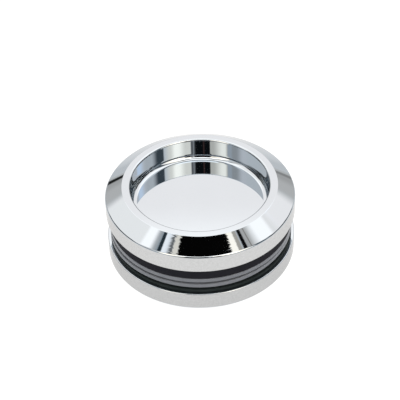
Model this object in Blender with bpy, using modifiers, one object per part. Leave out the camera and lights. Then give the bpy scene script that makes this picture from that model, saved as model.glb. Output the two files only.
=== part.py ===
"""Round back-to-back finger pull for a sliding glass door.

Two bevelled chrome cups screw together through a round hole in the glass. The front cup's hub has the
male thread and the rear cup's sleeve the female one; both threads are plain cylinders here. Gaskets and
plastic washers sit on each side of the glass, and a plastic bush lines the hole. The pull stands on the
rear cup's rim: +Z is its axis and points out of the front cup, and z = 0 is the rear rim.
"""

import math

import bpy
from mathutils import Matrix, Vector

MM = 0.001

# Each cup, seen from its own rim
DISC_RADIUS = 32.5 * MM
DISC_THICKNESS = 10.4 * MM
BEVEL_HEIGHT = 4.1 * MM
RIM_OUTER_RADIUS = 26.5 * MM
RECESS_RADIUS = 23.7 * MM
RECESS_DEPTH = 8.2 * MM
RECESS_FILLET = 2.0 * MM
EDGE_ROUNDING = 0.4 * MM

# The stack between the two cups
CUP_GAP = 10.4 * MM
CLEARANCE = 0.3 * MM
FRONT_GASKET_THICKNESS = 4.0 * MM
REAR_GASKET_THICKNESS = 0.9 * MM
WASHER_THICKNESS = 1.7 * MM
WASHER_LIFT = 0.8 * MM
RING_OUTER_RADIUS = 31.4 * MM
RING_INNER_RADIUS = 28.5 * MM
RING_ROUNDING = 0.2 * MM

# The screwed joint and the bush around it
THREAD_LENGTH = 9.6 * MM
HUB_RADIUS = 25.2 * MM
HUB_WALL = 2.8 * MM
SLEEVE_WALL = 1.6 * MM
THREAD_CHAMFER = 0.5 * MM
BUSH_WALL = 0.8 * MM
BUSH_HEIGHT = 7.5 * MM

STEPS = 64
FILLET_SEGMENTS = 4
ROUNDING_SEGMENTS = 1
MERGE_DISTANCE = 0.00001

# Heights worked out from the above
REAR_BACK_Z = DISC_THICKNESS
FRONT_BACK_Z = REAR_BACK_Z + CUP_GAP
FRONT_RIM_Z = FRONT_BACK_Z + DISC_THICKNESS


def arc(corner, before, after, radius, segments):
    """Points that round a corner (all in the r, z plane) to the radius."""
    to_before = (before - corner).normalized()
    to_after = (after - corner).normalized()
    half_angle = to_before.angle(to_after) / 2
    centre = corner + (to_before + to_after).normalized() * radius / math.sin(half_angle)
    tangent = radius / math.tan(half_angle)
    first = corner + to_before * tangent - centre
    last = corner + to_after * tangent - centre
    turn = first.angle_signed(last)
    points = []
    for i in range(segments + 1):
        step = first.copy()
        step.rotate(Matrix.Rotation(-turn * i / segments, 2))
        points.append(centre + step)
    return points


def rounded(corners):
    """The profile through (r, z, rounding, segments) corners, each rounded to its radius."""
    places = [Vector(corner[:2]) for corner in corners]
    profile = []
    for i, (place, corner) in enumerate(zip(places, corners)):
        if corner[2] == 0:
            profile.append(place)
        else:
            after = places[(i + 1) % len(places)]
            profile.extend(arc(place, places[i - 1], after, corner[2], corner[3]))
    return profile


def sharp(r, z):
    return (r, z, 0, 0)


def eased(r, z, rounding=EDGE_ROUNDING):
    return (r, z, rounding, ROUNDING_SEGMENTS)


def turned(name, corners, material, closed=False):
    """A solid of revolution about Z. The profile runs down its outer side, and starts and ends on the
    axis, or else is closed."""
    profile = rounded(corners)
    count = len(profile)
    edges = [(i, i + 1) for i in range(count - 1)]
    if closed:
        edges.append((count - 1, 0))
    mesh = bpy.data.meshes.new(name)
    mesh.from_pydata([(r, 0, z) for r, z in profile], edges, [])
    mesh.materials.append(material)
    piece = bpy.data.objects.new(name, mesh)
    bpy.data.collections["finger_pull"].objects.link(piece)
    screw = piece.modifiers.new("Turn", "SCREW")
    screw.angle = 2 * math.pi
    screw.steps = screw.render_steps = STEPS
    screw.use_merge_vertices = True
    screw.merge_threshold = MERGE_DISTANCE
    screw.use_smooth_shade = True
    return piece


def principled(name, colour, roughness, metallic):
    material = bpy.data.materials.new(name)
    material.use_nodes = True
    shader = material.node_tree.nodes["Principled BSDF"]
    shader.inputs["Base Color"].default_value = (*colour, 1)
    shader.inputs["Roughness"].default_value = roughness
    shader.inputs["Metallic"].default_value = metallic
    return material


def cup_face(rim_z, inward):
    """Corners of a cup from the floor's edge over the rim to the band. inward is the direction along Z
    from the rim to the floor, 1 or -1."""
    return [
        (RECESS_RADIUS, rim_z + inward * RECESS_DEPTH, RECESS_FILLET, FILLET_SEGMENTS),
        eased(RECESS_RADIUS, rim_z),
        eased(RIM_OUTER_RADIUS, rim_z),
        eased(DISC_RADIUS, rim_z + inward * BEVEL_HEIGHT),
        eased(DISC_RADIUS, rim_z + inward * DISC_THICKNESS),
    ]


def front_cup():
    """The cup, with the male-threaded hub behind it."""
    floor_z = FRONT_RIM_Z - RECESS_DEPTH
    hub_end = FRONT_BACK_Z - THREAD_LENGTH
    bore_radius = HUB_RADIUS - HUB_WALL
    corners = [
        sharp(0, floor_z),
        *cup_face(FRONT_RIM_Z, -1),
        sharp(HUB_RADIUS, FRONT_BACK_Z),
        sharp(HUB_RADIUS, hub_end + THREAD_CHAMFER),
        sharp(HUB_RADIUS - THREAD_CHAMFER, hub_end),
        sharp(bore_radius, hub_end),
        sharp(bore_radius, FRONT_BACK_Z),
        sharp(0, FRONT_BACK_Z),
    ]
    return turned("front_cup", corners, principled("front_chrome", (0.84, 0.85, 0.86), 0.05, 1))


def rear_cup():
    """The matching cup, with the female-threaded sleeve that takes the hub."""
    floor_z = RECESS_DEPTH
    bore_radius = HUB_RADIUS + CLEARANCE
    outer_radius = bore_radius + SLEEVE_WALL
    sleeve_end = REAR_BACK_Z + THREAD_LENGTH
    corners = [
        sharp(0, REAR_BACK_Z),
        sharp(bore_radius, REAR_BACK_Z),
        sharp(bore_radius, sleeve_end - THREAD_CHAMFER),
        sharp(bore_radius + THREAD_CHAMFER, sleeve_end),
        sharp(outer_radius, sleeve_end),
        sharp(outer_radius, REAR_BACK_Z),
        *reversed(cup_face(0, 1)),
        sharp(0, floor_z),
    ]
    return turned("rear_cup", corners, principled("rear_chrome", (0.84, 0.85, 0.86), 0.05, 1))


def ring(name, inner_radius, outer_radius, bottom_z, thickness, material, rounding=RING_ROUNDING):
    top_z = bottom_z + thickness
    corners = [
        eased(inner_radius, top_z, rounding),
        eased(outer_radius, top_z, rounding),
        eased(outer_radius, bottom_z, rounding),
        eased(inner_radius, bottom_z, rounding),
    ]
    return turned(name, corners, material, closed=True)


def stack_ring(name, bottom_z, thickness, material):
    return ring(name, RING_INNER_RADIUS, RING_OUTER_RADIUS, bottom_z, thickness, material)


def front_seal():
    """The gasket under the front cup and the washer under that."""
    gasket_z = FRONT_BACK_Z - CLEARANCE - FRONT_GASKET_THICKNESS
    washer_z = gasket_z - CLEARANCE - WASHER_THICKNESS
    rubber = principled("front_rubber", (0.025, 0.024, 0.027), 0.6, 0)
    plastic = principled("front_plastic", (0.33, 0.34, 0.37), 0.4, 0)
    return [
        stack_ring("front_gasket", gasket_z, FRONT_GASKET_THICKNESS, rubber),
        stack_ring("front_washer", washer_z, WASHER_THICKNESS, plastic),
    ]


def rear_seal():
    """The gasket on the rear cup and the washer that lies loose over it."""
    gasket_z = REAR_BACK_Z + CLEARANCE
    washer_z = gasket_z + REAR_GASKET_THICKNESS + WASHER_LIFT
    rubber = principled("rear_rubber", (0.02, 0.022, 0.024), 0.6, 0)
    plastic = principled("rear_plastic", (0.33, 0.34, 0.37), 0.4, 0)
    return [
        stack_ring("rear_gasket", gasket_z, REAR_GASKET_THICKNESS, rubber),
        stack_ring("rear_washer", washer_z, WASHER_THICKNESS, plastic),
    ]


def hole_bush():
    """The plastic ring between the threaded sleeve and the edge of the hole in the glass."""
    inner_radius = HUB_RADIUS + SLEEVE_WALL + 2 * CLEARANCE
    outer_radius = inner_radius + BUSH_WALL
    nylon = principled("nylon", (0.03, 0.03, 0.032), 0.45, 0)
    bottom_z = REAR_BACK_Z + CLEARANCE
    return ring("hole_bush", inner_radius, outer_radius, bottom_z, BUSH_HEIGHT, nylon)


def group(name, pieces):
    """Parents the pieces to an empty on the joint's axis."""
    empty = bpy.data.objects.new(name, None)
    bpy.data.collections["finger_pull"].objects.link(empty)
    for piece in pieces:
        piece.parent = empty
    return empty


def main():
    for old in list(bpy.data.objects):
        bpy.data.objects.remove(old)
    bpy.context.scene.collection.children.link(bpy.data.collections.new("finger_pull"))
    rear_half = group("rear_half", [rear_cup(), *rear_seal(), hole_bush()])
    front_clamp = group("front_clamp", front_seal())
    front_clamp.parent = rear_half
    front_half = group("front_half", [front_cup()])
    front_half.parent = front_clamp


main()
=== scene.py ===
"""The looks of a round back-to-back finger pull for a sliding glass door: two polished chrome cups on a
screwed joint, black rubber gaskets, grey plastic washers and a nylon bush made near black as painted shade
for the gaps between them, in a white light tent."""

import math

import bpy
import numpy as np
from mathutils import Matrix, Vector


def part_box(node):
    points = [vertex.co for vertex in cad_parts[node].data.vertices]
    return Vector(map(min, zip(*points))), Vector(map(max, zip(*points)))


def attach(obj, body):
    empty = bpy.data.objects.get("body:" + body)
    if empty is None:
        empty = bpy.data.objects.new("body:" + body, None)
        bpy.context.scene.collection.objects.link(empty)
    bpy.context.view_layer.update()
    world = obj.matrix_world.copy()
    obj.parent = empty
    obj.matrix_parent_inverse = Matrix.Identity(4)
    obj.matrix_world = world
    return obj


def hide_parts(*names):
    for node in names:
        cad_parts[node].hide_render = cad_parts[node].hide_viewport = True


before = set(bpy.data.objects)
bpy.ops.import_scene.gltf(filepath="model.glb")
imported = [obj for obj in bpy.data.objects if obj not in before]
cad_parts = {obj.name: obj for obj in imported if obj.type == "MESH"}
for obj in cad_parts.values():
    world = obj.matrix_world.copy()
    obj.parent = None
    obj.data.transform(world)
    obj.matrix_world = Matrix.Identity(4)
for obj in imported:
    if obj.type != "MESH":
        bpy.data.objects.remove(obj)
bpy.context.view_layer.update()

MM = 0.001
STEPS = 288
ARC_STEP = math.radians(9)

# Where the CAD puts things
FRONT_LOW, FRONT_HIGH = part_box("front_cup")
REAR_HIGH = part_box("rear_cup")[1]
RING_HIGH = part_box("front_gasket")[1]
BUSH_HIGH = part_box("hole_bush")[1]
DISC_RADIUS = FRONT_HIGH.x
RIM_Z = FRONT_HIGH.z
HUB_END_Z = FRONT_LOW.z
SLEEVE_END_Z = REAR_HIGH.z
RING_RADIUS = RING_HIGH.x
BUSH_RADIUS = BUSH_HIGH.x

# The cups' outline, from their rims
DISC_THICKNESS = 10.4 * MM
BEVEL_HEIGHT = 4.1 * MM
RIM_OUTER_RADIUS = 26.5 * MM
RECESS_RADIUS = 23.7 * MM
RECESS_DEPTH = 8.2 * MM
RECESS_FILLET = 2.0 * MM
EDGE_ROUNDING = 0.35 * MM
LIP_ROUNDING = 0.7 * MM
SHOULDER_ROUNDING = 1.0 * MM
FRONT_BACK_Z = RIM_Z - DISC_THICKNESS
REAR_BACK_Z = DISC_THICKNESS

# The screwed joint
THREAD_PITCH = 1.5 * MM
THREAD_CREST = 25.4 * MM
THREAD_DEPTH = 0.85 * MM
THREAD_PLAY = 0.12 * MM
HUB_BORE = 22.4 * MM
SLEEVE_OUTER = 27.1 * MM

# The stack of rings, as they really touch
RING_INNER = 28.5 * MM
BUSH_INNER = 27.4 * MM
FRONT_GASKET = 4.26 * MM
REAR_GASKET = 1.15 * MM
FRONT_WASHER = 1.6 * MM
REAR_WASHER = 1.55 * MM
REAR_WASHER_DROP = 0.2 * MM
REAR_WASHER_LOWEST = -0.5 * MM - REAR_WASHER_DROP
TOUCH = 0.02 * MM

# The photograph's view
CAMERA_ELEVATION = math.radians(41.16)
CAMERA_ROLL = math.radians(1.72)
CAMERA_DISTANCE = 14 * DISC_RADIUS
CAMERA_ASIDE = 0.0019 * DISC_RADIUS
CAMERA_DOWN = 0.1743 * DISC_RADIUS
LENS_MM = 120.7
SENSOR_MM = 36

# The chrome: its mirror faces and how far a haze moves their colour, its satin bands, its turning marks
MIRROR = (0.505, 0.552, 0.597)
MIRROR_HAZE = 0.008
SATIN_TINT = (0.985, 1, 1.01)
FRONT_SATIN = 0.555
# The rear band, down by the table, is set darker than the front's: painted shade.
REAR_SATIN_PAINTED_SHADE = 0.5
MARK_SPACING = 0.9 * MM
MARK_DEPTH = 0.013 * MM
FAINT_MARK_DEPTH = 0.001 * MM
PEEL_DEPTH = 0.0012 * MM

# The tent behind its cards, from the table up, with the degrees over which one colour becomes the next
TENT_FOOT = (0.85, 0.83, 0.8, 1)
FOOT_TO_WALL = (15.5, 23)
TENT_WALL = (1.53, 1.43, 1.37, 1)
WALL_TO_CEILING = (41.1, 43.7)
TENT_CEILING = (1.85, 1.77, 1.7, 1)

# The table: its half side, and the distances over which its glow falls off
TABLE_REACH = 3.0
TABLE_FADE = (0.06, 0.34)
TABLE_GLOW = 0.92


def unit(v):
    return v / np.linalg.norm(v)


def outward(along):
    """The outward normal of a profile that runs down its outer side."""
    return np.array([-along[1], along[0]])


def corner_arc(before, corner, after, rounding):
    """Points and normals that round one corner of a profile in (r, z)."""
    inward, onward = unit(corner - before), unit(after - corner)
    turn = math.atan2(inward[0] * onward[1] - inward[1] * onward[0], inward @ onward)
    hollow = 1 if turn > 0 else -1
    start = corner - inward * rounding * math.tan(abs(turn) / 2)
    centre = start + outward(inward) * rounding * hollow
    count = max(3, math.ceil(abs(turn) / ARC_STEP))
    for k in range(count + 1):
        c, s = math.cos(turn * k / count), math.sin(turn * k / count)
        normal = np.array([[c, -s], [s, c]]) @ outward(inward)
        yield centre - normal * rounding * hollow, normal


def outline(corners, closed=False):
    """Points and exact normals of a profile, so that a mirror finish shows no facets. A corner is
    (r, z, rounding), and (r, z) alone is a plain point on a straight run."""
    places = [np.array(c[:2], float) for c in corners]
    rows = []
    last = len(corners) - 1
    for i, corner in enumerate(corners):
        before, after = places[max(i - 1, 0)], places[min(i + 1, last)]
        if closed:
            before, after = places[i - 1], places[(i + 1) % len(places)]
        if len(corner) == 2:
            rows.append((places[i], outward(unit(after - before))))
        else:
            rows.extend(corner_arc(before, places[i], after, corner[2]))
    return np.array([r[0] for r in rows]), np.array([r[1] for r in rows])


def grid_mesh(name, points, normals, closed):
    """A mesh round Z from a grid of points (profile by steps). A profile row on the axis becomes a pole."""
    rows, steps = points.shape[:2]
    on_axis = np.hypot(points[:, 0, 0], points[:, 0, 1]) < 1e-9
    index = np.zeros((rows, steps), int)
    verts, norms = [], []
    for i in range(rows):
        if on_axis[i]:
            index[i, :] = len(verts)
            verts.append(points[i, 0])
            norms.append(normals[i].mean(0))
        else:
            index[i, :] = len(verts) + np.arange(steps)
            verts.extend(points[i])
            norms.extend(normals[i])
    faces = []
    for i in range(rows if closed else rows - 1):
        below = (i + 1) % rows
        for j in range(steps):
            k = (j + 1) % steps
            ring = (index[i, j], index[below, j], index[below, k], index[i, k])
            faces.append(tuple(int(v) for v in dict.fromkeys(ring)))
    mesh = bpy.data.meshes.new(name)
    mesh.from_pydata([tuple(v) for v in verts], [], faces)
    mesh.shade_smooth()
    mesh.normals_split_custom_set_from_vertices([tuple(unit(n)) for n in norms])
    piece = bpy.data.objects.new(name, mesh)
    bpy.context.scene.collection.objects.link(piece)
    return piece


def turned(name, corners, closed=False, shape=None):
    """A turned piece. shape, if given, moves the grid of points, and the normals then follow the grid."""
    profile, profile_normals = outline(corners, closed)
    angles = np.arange(STEPS) * 2 * math.pi / STEPS
    around = np.stack([np.cos(angles), np.sin(angles)], 1)
    points = np.concatenate(
        [profile[:, None, :1] * around[None], np.repeat(profile[:, None, 1:], STEPS, 1)], 2
    )
    normals = np.concatenate(
        [profile_normals[:, None, :1] * around[None],
         np.repeat(profile_normals[:, None, 1:], STEPS, 1)], 2
    )
    if shape:
        points, normals = shape(points, normals, profile, angles)
    return grid_mesh(name, points, normals, closed)


def thread_wave(z, angle):
    """0 at the crest and 1 at the root of the right-hand thread, at a height and an angle. It is a triangle
    wave that overshoots, cut flat at crest and root, with its flanks eased a little."""
    overshoot, easing = 0.2, 0.4
    phase = (z / THREAD_PITCH - angle / (2 * math.pi)) % 1
    ramp = np.clip(np.abs(2 * phase - 1) * (1 + 2 * overshoot) - overshoot, 0, 1)
    smooth = ramp * ramp * (3 - 2 * ramp)
    return smooth * easing + ramp * (1 - easing)


def cut_thread(radius, low, high, at_ends):
    """A shape for turned() that cuts the thread into the rows at a radius between two heights. at_ends is
    the wave that it fades to: 1 where it starts in a relief, 0 where the bore opens out."""

    def shape(points, normals, profile, angles):
        threaded = (abs(profile[:, 0] - radius) < 1e-7) & (profile[:, 1] > low) & (profile[:, 1] < high)
        rows = np.flatnonzero(threaded)
        z = points[rows, :, 2]
        edge = np.clip(np.minimum(z - low, high - z) / THREAD_PITCH, 0, 1)
        wave = thread_wave(z, angles[None]) * edge + at_ends * (1 - edge)
        points[rows, :, :2] *= (1 - THREAD_DEPTH * wave / radius)[..., None]
        along = np.gradient(points[rows], axis=0)
        across = np.roll(points[rows], -1, 1) - np.roll(points[rows], 1, 1)
        normals[rows] = np.cross(along, across)
        return points, normals

    return shape


def thread_rows(radius, start, end, rows_per_pitch=14):
    count = round(abs(end - start) / THREAD_PITCH * rows_per_pitch)
    return [(radius, start + (end - start) * k / count) for k in range(count + 1)]


def cup_face(rim_z, inward):
    """Corners of a cup from its floor's edge over the rim, bevel and band. inward, 1 or -1, is the way
    along Z from the rim to the floor."""
    return [
        (RECESS_RADIUS, rim_z + inward * RECESS_DEPTH, RECESS_FILLET),
        (RECESS_RADIUS, rim_z, LIP_ROUNDING),
        (RIM_OUTER_RADIUS, rim_z, EDGE_ROUNDING),
        (DISC_RADIUS, rim_z + inward * BEVEL_HEIGHT, SHOULDER_ROUNDING),
        (DISC_RADIUS, rim_z + inward * DISC_THICKNESS, EDGE_ROUNDING),
    ]


def make_front_cup():
    """The front cup with its male-threaded hub, one turned piece."""
    low, high = HUB_END_Z + 0.5 * MM, FRONT_BACK_Z - 0.6 * MM
    corners = [
        (0, RIM_Z - RECESS_DEPTH),
        *cup_face(RIM_Z, -1),
        (THREAD_CREST, FRONT_BACK_Z, 0.1 * MM),
        *thread_rows(THREAD_CREST, high, low),
        (THREAD_CREST - THREAD_DEPTH, HUB_END_Z, 0.2 * MM),
        (HUB_BORE, HUB_END_Z, 0.2 * MM),
        (HUB_BORE, FRONT_BACK_Z, 0.4 * MM),
        (0, FRONT_BACK_Z),
    ]
    thread = cut_thread(THREAD_CREST, low - TOUCH, high + TOUCH, 1)
    return turned("front_cup_chrome", corners, shape=thread)


def make_rear_cup():
    """The rear cup with its female-threaded sleeve, one turned piece."""
    bore = THREAD_CREST + THREAD_PLAY
    low, high = REAR_BACK_Z + 0.6 * MM, SLEEVE_END_Z - 0.3 * MM
    corners = [
        (0, REAR_BACK_Z),
        (bore, REAR_BACK_Z, 0.1 * MM),
        *thread_rows(bore, low, high),
        (bore, SLEEVE_END_Z, 0.2 * MM),
        (SLEEVE_OUTER, SLEEVE_END_Z, 0.3 * MM),
        (SLEEVE_OUTER, REAR_BACK_Z, 0.3 * MM),
        *reversed(cup_face(0, 1)),
        (0, RECESS_DEPTH),
    ]
    thread = cut_thread(bore, low - TOUCH, high + TOUCH, 0)
    return turned("rear_cup_chrome", corners, shape=thread)


def ring(name, inner, outer, low, high, rounding, shape=None):
    corners = [
        (inner, high, rounding),
        (outer, high, rounding),
        (outer, low, rounding),
        (inner, low, rounding),
    ]
    return turned(name, corners, closed=True, shape=shape)


def warped(points, normals, profile, angles):
    """The rear washer isn't flat: it leans up at the front right, waves, and rests on its gasket behind."""
    lean = 0.75 * MM * np.cos(angles + math.radians(40))
    wave = 0.28 * MM * np.cos(3 * (angles + math.radians(13)))
    points[..., 2] += np.maximum(lean + wave, REAR_WASHER_LOWEST)[None]
    return points, normals


def make_rings():
    """The gaskets and washers between the cups, and the bush, by name."""
    gasket_low = FRONT_BACK_Z - FRONT_GASKET
    washer_low = gasket_low - FRONT_WASHER
    rear_gasket_high = REAR_BACK_Z + REAR_GASKET
    loose = (washer_low + rear_gasket_high) / 2 - REAR_WASHER_DROP
    half = REAR_WASHER / 2
    wide = (RING_INNER, RING_RADIUS)
    rear_back = REAR_BACK_Z + TOUCH
    return {
        "front_gasket": ring("front_gasket_rubber", *wide, gasket_low, FRONT_BACK_Z - TOUCH, 0.25 * MM),
        "front_washer": ring("front_washer_pvc", *wide, washer_low, gasket_low - TOUCH, 0.2 * MM),
        "rear_washer": ring("rear_washer_pvc", *wide, loose - half, loose + half, 0.2 * MM, warped),
        "rear_gasket": ring("rear_gasket_rubber", *wide, rear_back, rear_gasket_high, 0.2 * MM),
        "hole_bush": ring("hole_bush_nylon", BUSH_INNER, BUSH_RADIUS, rear_back, BUSH_HIGH.z, 0.15 * MM),
    }


class Graph:
    """Builds shader nodes. An input may be a number, a colour or another node's output."""

    def __init__(self, tree):
        self.tree = tree

    def add(self, kind, inputs=None, **settings):
        node = self.tree.nodes.new(kind)
        for name, value in settings.items():
            setattr(node, name, value)
        for name, value in (inputs or {}).items():
            self.feed(node.inputs[name], value)
        return node

    def feed(self, socket, value):
        if isinstance(value, bpy.types.NodeSocket):
            self.tree.links.new(value, socket)
        else:
            socket.default_value = value

    def math(self, operation, *values):
        inputs = dict(enumerate(values))
        return self.add("ShaderNodeMath", inputs, operation=operation).outputs[0]

    def smooth_step(self, value, low, high):
        inputs = {"Value": value, "From Min": low, "From Max": high}
        node = self.add("ShaderNodeMapRange", inputs, interpolation_type="SMOOTHSTEP")
        return node.outputs[0]

    def window(self, value, low, high, low_soft, high_soft):
        """1 where the value is between low and high, with soft edges."""
        rise = self.smooth_step(value, low - low_soft, low + low_soft)
        fall = self.smooth_step(value, high - high_soft, high + high_soft)
        return self.math("MULTIPLY", rise, self.math("SUBTRACT", 1.0, fall))

    def mix(self, factor, first, second):
        node = self.add("ShaderNodeMix", data_type="RGBA")
        self.feed(node.inputs["Factor"], factor)
        self.feed(node.inputs[6], first)
        self.feed(node.inputs[7], second)
        return node.outputs[2]


def shaded(colour, shade):
    """A colour made lighter or darker, with its alpha."""
    return (*(shade * c for c in colour), 1)


NEUTRAL = (1.05, 1, 0.95)
COOL = (1, 1, 1)
COLD = (0.85, 1, 1.1)
CREAM = (1.12, 1.02, 0.88)
WARM = (1.15, 1.01, 0.84)

# The tent as the pull sees it. Each card covers a stretch of azimuth (from +X towards the rear) and of
# elevation, with the width of its soft edges, all in degrees. Later cards lie over earlier ones.
CARDS = [
    # azimuth from, to, its two edges; elevation from, to, its edges; radiance and tint
    ("left_wall", 140, 183, 10, 4, 20, 58, 4, 1.42, NEUTRAL),
    ("right_wall", 350, 373, 8, 10, 36, 41.5, 2, 1.28, NEUTRAL),
    ("rear_shade", 42, 138, 4, 4, 3.4, 17, 5, 0.76, NEUTRAL),
    ("rear_low", 42, 138, 4, 4, 2, 8, 5, 0.62, NEUTRAL),
    ("rear_seam", 96, 150, 4, 4, 1.3, 3.9, 1.2, 0.02, NEUTRAL),
    ("rear_line", 40, 96, 4, 4, 1.5, 3.6, 1.2, 0.4, NEUTRAL),
    ("right_blue", 21, 37, 14, 8, 37.5, 46, 3, 1.85, (0.94, 1, 1.1)),
    ("front_sill", 190, 352, 6, 6, -2, 18, 4, 0.35, COLD),
    ("left_return", 198, 221, 16, 2, 16, 52, 4, 0.82, NEUTRAL),
    ("left_edge", 213, 221, 3, 2, 16, 52, 4, 0.98, COOL),
    ("left_panel", 221, 260, 3, 2, 16, 56, 4, 1.28, WARM),
    ("left_lamp", 223, 238, 5, 18, 16, 56, 4, 2.5, WARM),
    ("right_panel", 280, 331, 9, 2, 16, 56, 4, 1.5, NEUTRAL),
    ("right_glow", 282.5, 325, 4, 14, 16, 56, 4, 1.95, WARM),
    ("right_lamp", 298, 314, 14, 10, 16, 56, 4, 2.95, WARM),
    ("right_shade", 331, 350, 3, 14, 16, 52, 4, 0.15, COLD),
    ("left_fade", 194.5, 260, 7, 3, 52, 62, 4, 0.66, COOL),
    ("left_blue", 200, 206, 5, 1, 52, 80, 4, 0.45, COLD),
    ("left_seam", 201.4, 206, 1, 1.5, 52, 80, 4, 0.045, (0.6, 1, 1.25)),
    ("left_strip", 206, 212.5, 1.5, 7, 52, 80, 4, 1.5, COOL),
    ("left_shade", 213.7, 219.9, 5, 1.5, 52, 80, 4, 0.24, COOL),
    ("left_cream", 220, 229, 1.5, 5, 52, 80, 4, 1.1, CREAM),
    ("right_fade", 329, 351, 1.5, 14, 52, 80, 4, 0.66, NEUTRAL),
    ("right_cream", 318, 329.5, 2, 1.5, 52, 80, 4, 1.68, CREAM),
    ("right_beige", 329.5, 334, 1, 1, 52, 80, 4, 0.6, CREAM),
    ("right_strip", 334, 335.8, 1, 1, 52, 80, 4, 0.8, COOL),
    ("right_seam", 335.8, 340.2, 1, 1, 52, 80, 4, 0.005, COLD),
    ("right_line", 344.2, 345.2, 0.6, 0.6, 52, 80, 4, 0.3, CREAM),
    ("front_gap", 245, 304, 3, 3, -2, 14, 3, 0.006, NEUTRAL),
    ("front_dark", 251, 292, 3, 3, 12, 31, 3, 0.006, NEUTRAL),
    ("slot_edge", 274, 283, 2, 2, 0, 64, 2, 0.28, NEUTRAL),
    ("slot", 251, 276, 1.5, 2, 0, 64, 2, 0.012, COLD),
    ("slot_line", 278, 279.2, 0.6, 0.6, 0, 64, 2, 0.75, NEUTRAL),
    ("warm_line", 260.5, 262.5, 1.2, 1.2, 20, 60, 2, 0.08, (1.5, 0.75, 0.65)),
    ("front_glow", 233, 313, 4, 4, 49, 60.5, 2, 3.2, NEUTRAL),
    ("right_tick", 348.5, 355, 1, 1, -2, 33, 2, 0.01, COLD),
    ("skylight", 228, 320.5, 2, 2, 61, 73, 2, 0.002, NEUTRAL),
    ("left_gap", 149, 196, 3, 6, 3, 21, 3, 0.03, COLD),
    ("left_dark", 158, 190, 6, 6, 15, 27, 4, 0.03, COLD),
    ("right_gap", 354, 391, 4, 3, 3, 21, 3, 0.03, COLD),
    ("right_dark", 356, 382, 4, 6, 15, 27, 4, 0.03, COLD),
]


def hang(graph, card, azimuth, elevation, behind):
    """The tent's colour with one card hung over what is behind it."""
    name, start, end, start_edge, end_edge, low, high, level_edge, radiance, tint = card
    middle, half = (start + end) / 2, (end - start) / 2
    offset = graph.math("WRAP", graph.math("SUBTRACT", azimuth, middle), 180.0, -180.0)
    across = graph.window(offset, -half, half, start_edge / 2, end_edge / 2)
    upright = graph.window(elevation, low, high, level_edge / 2, level_edge / 2)
    cover = graph.math("MULTIPLY", across, upright)
    cover.node.label = name
    return graph.mix(cover, behind, shaded(tint, radiance))


def tent():
    """A white light tent, open in a dark strip towards the front, as a world that depends on direction."""
    world = bpy.data.worlds.new("tent")
    bpy.context.scene.world = world
    world.use_nodes = True
    graph = Graph(world.node_tree)
    direction = graph.add("ShaderNodeTexCoord").outputs["Generated"]
    x, y, z = graph.add("ShaderNodeSeparateXYZ", {0: direction}).outputs
    elevation = graph.math("DEGREES", graph.math("ARCSINE", z))
    azimuth = graph.math("DEGREES", graph.math("ARCTAN2", y, x))

    colour = graph.mix(graph.smooth_step(elevation, *FOOT_TO_WALL), TENT_FOOT, TENT_WALL)
    colour = graph.mix(graph.smooth_step(elevation, *WALL_TO_CEILING), colour, TENT_CEILING)
    for card in CARDS:
        colour = hang(graph, card, azimuth, elevation, colour)
    background = world.node_tree.nodes["Background"]
    graph.feed(background.inputs["Color"], colour)
    background.inputs["Strength"].default_value = 1


def floor():
    """The white table, far wider than the view and brightest round the pull."""
    mesh = bpy.data.meshes.new("floor")
    corners = [(TABLE_REACH * x, TABLE_REACH * y, -TOUCH) for x, y in ((-1, -1), (1, -1), (1, 1), (-1, 1))]
    mesh.from_pydata(corners, [], [(0, 1, 2, 3)])
    table = bpy.data.objects.new("floor", mesh)
    bpy.context.scene.collection.objects.link(table)
    material = bpy.data.materials.new("table")
    material.use_nodes = True
    graph = Graph(material.node_tree)
    shader = material.node_tree.nodes["Principled BSDF"]
    shader.inputs["Roughness"].default_value = 1
    shader.inputs["Specular IOR Level"].default_value = 0
    place = graph.add("ShaderNodeTexCoord").outputs["Object"]
    distance = graph.add("ShaderNodeVectorMath", {0: place}, operation="LENGTH").outputs["Value"]
    far = graph.smooth_step(distance, *TABLE_FADE)
    white = graph.mix(far, (0.2, 0.2, 0.2, 1), (0.14, 0.14, 0.14, 1))
    glow = graph.mix(far, (1, 1, 1, 1), (0.8, 0.81, 0.82, 1))
    graph.feed(shader.inputs["Base Color"], white)
    graph.feed(shader.inputs["Emission Color"], glow)
    shader.inputs["Emission Strength"].default_value = TABLE_GLOW
    mesh.materials.append(material)


def surface(name, colour, roughness, metallic=0.0):
    material = bpy.data.materials.new(name)
    material.use_nodes = True
    shader = material.node_tree.nodes["Principled BSDF"]
    shader.inputs["Base Color"].default_value = (*colour, 1)
    shader.inputs["Roughness"].default_value = roughness
    shader.inputs["Metallic"].default_value = metallic
    return material, Graph(material.node_tree), shader


def satin_or_mirror(graph, shader, place, band, satin_tone):
    """Colour and roughness: a grainy satin where band is 1, and a mirror with a faint haze elsewhere."""
    grain = graph.add("ShaderNodeTexNoise", {"Vector": place, "Scale": 1500.0, "Detail": 3.0}).outputs["Fac"]
    dull = shaded(SATIN_TINT, satin_tone * 0.88)
    bright = shaded(SATIN_TINT, satin_tone * 1.12)
    satin = graph.mix(grain, dull, bright)
    haze = graph.add("ShaderNodeTexNoise", {"Vector": place, "Scale": 90.0, "Detail": 4.0}).outputs["Fac"]
    darker = (*(c - MIRROR_HAZE for c in MIRROR), 1)
    lighter = (*(c + MIRROR_HAZE for c in MIRROR), 1)
    mirror = graph.mix(haze, darker, lighter)
    graph.feed(shader.inputs["Base Color"], graph.mix(band, mirror, satin))

    rough = graph.math("MULTIPLY", band, graph.math("MULTIPLY_ADD", grain, 0.12, 0.12))
    polish = graph.math("MULTIPLY_ADD", haze, 0.03, 0.015)
    polished = graph.math("MULTIPLY", graph.math("SUBTRACT", 1.0, band), polish)
    graph.feed(shader.inputs["Roughness"], graph.math("ADD", rough, polished))


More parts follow.
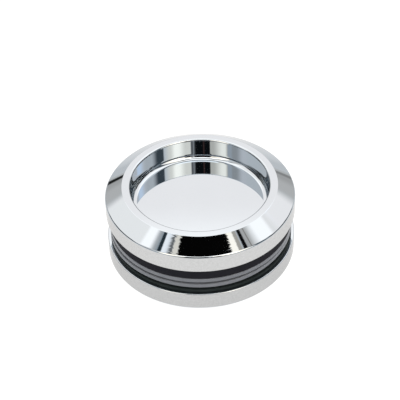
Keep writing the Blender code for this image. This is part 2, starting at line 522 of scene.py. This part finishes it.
def turning_marks(graph, x, y, z, radius):
    """The height of the bevel's turning marks, uneven rings round the axis, deepest towards the front."""
    across = graph.math("MULTIPLY", graph.math("SUBTRACT", radius, z), 1 / MARK_SPACING)
    turning = graph.add("ShaderNodeCombineXYZ", {0: across, 1: graph.math("ARCTAN2", y, x)}).outputs[0]
    marks = graph.add("ShaderNodeTexNoise", {"Vector": turning, "Scale": 1.0, "Detail": 1.0},
                      noise_dimensions="2D").outputs["Fac"]
    bevel = graph.smooth_step(radius, RIM_OUTER_RADIUS, RIM_OUTER_RADIUS + 0.3 * MM)
    front = graph.smooth_step(graph.math("DIVIDE", y, radius), -0.925, -0.95)
    depth = graph.math("MULTIPLY_ADD", front, MARK_DEPTH, FAINT_MARK_DEPTH)
    return graph.math("MULTIPLY", graph.math("MULTIPLY", marks, bevel), depth)


def chrome(name, satin_tone):
    """Polished chrome: mirror faces with turning marks round the axis, and a satin outer band."""
    material, graph, shader = surface(name, MIRROR, 0.03, 1.0)
    shader.inputs["Specular Tint"].default_value = (0.82, 0.82, 0.82, 1)
    place = graph.add("ShaderNodeTexCoord").outputs["Object"]
    x, y, z = graph.add("ShaderNodeSeparateXYZ", {0: place}).outputs
    squares = graph.math("ADD", graph.math("MULTIPLY", x, x), graph.math("MULTIPLY", y, y))
    radius = graph.math("SQRT", squares)
    band = graph.smooth_step(radius, DISC_RADIUS - 0.07 * MM, DISC_RADIUS - 0.02 * MM)
    satin_or_mirror(graph, shader, place, band, satin_tone)

    marks = turning_marks(graph, x, y, z, radius)
    peel = graph.add("ShaderNodeTexNoise", {"Vector": place, "Scale": 260.0, "Detail": 1.0}).outputs["Fac"]
    height = graph.math("MULTIPLY_ADD", peel, PEEL_DEPTH, marks)
    bump = graph.add("ShaderNodeBump", {"Height": height, "Distance": 1.0, "Strength": 1.0})
    graph.feed(shader.inputs["Normal"], bump.outputs["Normal"])
    return material


def moulded(name, dark, light, roughness, specular, grain_scale, relief):
    """A moulded plastic or rubber: mottled colour, uneven sheen and a fine skin."""
    material, graph, shader = surface(name, dark, roughness)
    shader.inputs["Specular IOR Level"].default_value = specular
    place = graph.add("ShaderNodeTexCoord").outputs["Object"]
    mottle = graph.add("ShaderNodeTexNoise", {"Vector": place, "Scale": 300.0, "Detail": 5.0})
    graph.feed(shader.inputs["Base Color"], graph.mix(mottle.outputs["Fac"], (*dark, 1), (*light, 1)))
    sheen = graph.math("MULTIPLY_ADD", mottle.outputs["Fac"], 0.2, roughness - 0.1)
    graph.feed(shader.inputs["Roughness"], sheen)
    skin = graph.add("ShaderNodeTexNoise", {"Vector": place, "Scale": grain_scale, "Detail": 3.0})
    bump = graph.add("ShaderNodeBump", {"Height": skin.outputs["Fac"], "Distance": relief, "Strength": 1.0})
    graph.feed(shader.inputs["Normal"], bump.outputs["Normal"])
    return material


def rubber(name, dark, light):
    return moulded(name, dark, light, 0.6, 0.04, 2600.0, 0.012 * MM)


def pvc():
    dark, light = (0.13, 0.145, 0.172), (0.19, 0.208, 0.238)
    return moulded("grey_pvc", dark, light, 0.35, 0.3, 1800.0, 0.006 * MM)


def nylon():
    # Near black as painted shade: the bush darkens the gaps between the rings.
    dark, light = (0.008, 0.008, 0.009), (0.016, 0.016, 0.018)
    return moulded("black_nylon", dark, light, 0.45, 0.3, 1500.0, 0.008 * MM)


def camera():
    """A long lens 41 degrees above the table, tilted a little, as in the photograph."""
    forward = Vector((0, math.cos(CAMERA_ELEVATION), -math.sin(CAMERA_ELEVATION)))
    right = Vector((1, 0, 0))
    up = Vector((0, math.sin(CAMERA_ELEVATION), math.cos(CAMERA_ELEVATION)))
    rim_centre = Vector((0, 0, RIM_Z))
    stand = rim_centre - forward * CAMERA_DISTANCE - right * CAMERA_ASIDE - up * CAMERA_DOWN
    data = bpy.data.cameras.new("camera")
    data.sensor_width = SENSOR_MM
    data.lens = LENS_MM
    eye = bpy.data.objects.new("camera", data)
    bpy.context.scene.collection.objects.link(eye)
    right_rolled = right * math.cos(CAMERA_ROLL) - up * math.sin(CAMERA_ROLL)
    up_rolled = right * math.sin(CAMERA_ROLL) + up * math.cos(CAMERA_ROLL)
    turn = Matrix((right_rolled, up_rolled, -forward)).transposed()
    eye.matrix_world = Matrix.Translation(stand) @ turn.to_4x4()
    bpy.context.scene.camera = eye


def finish_as(piece, material, node, body):
    """Gives a piece its material, and stands it in for its CAD node."""
    piece.data.materials.append(material)
    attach(piece, body)
    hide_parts(node)


def main():
    camera()
    tent()
    floor()
    bpy.context.scene.view_settings.view_transform = "Standard"
    front_metal = chrome("front_chrome", FRONT_SATIN)
    # The rear cup's chrome, its band made darker as painted shade near the table.
    rear_metal_painted_shade = chrome("rear_chrome", REAR_SATIN_PAINTED_SHADE)
    front_rubber = rubber("black_rubber", (0.009, 0.0095, 0.0135), (0.017, 0.018, 0.024))
    # The rear gasket is the same rubber made lighter and greener: a painted sheen.
    sheened_rubber = rubber("rubber_painted_sheen", (0.013, 0.018, 0.019), (0.026, 0.034, 0.036))
    grey = pvc()
    black = nylon()
    pieces = {"front_cup": make_front_cup(), "rear_cup": make_rear_cup(), **make_rings()}
    finish_as(pieces["front_cup"], front_metal, "front_cup", "front_half")
    finish_as(pieces["rear_cup"], rear_metal_painted_shade, "rear_cup", "rear_half")
    finish_as(pieces["front_gasket"], front_rubber, "front_gasket", "front_clamp")
    finish_as(pieces["front_washer"], grey, "front_washer", "front_clamp")
    finish_as(pieces["rear_washer"], grey, "rear_washer", "rear_half")
    finish_as(pieces["rear_gasket"], sheened_rubber, "rear_gasket", "rear_half")
    finish_as(pieces["hole_bush"], black, "hole_bush", "rear_half")


main()
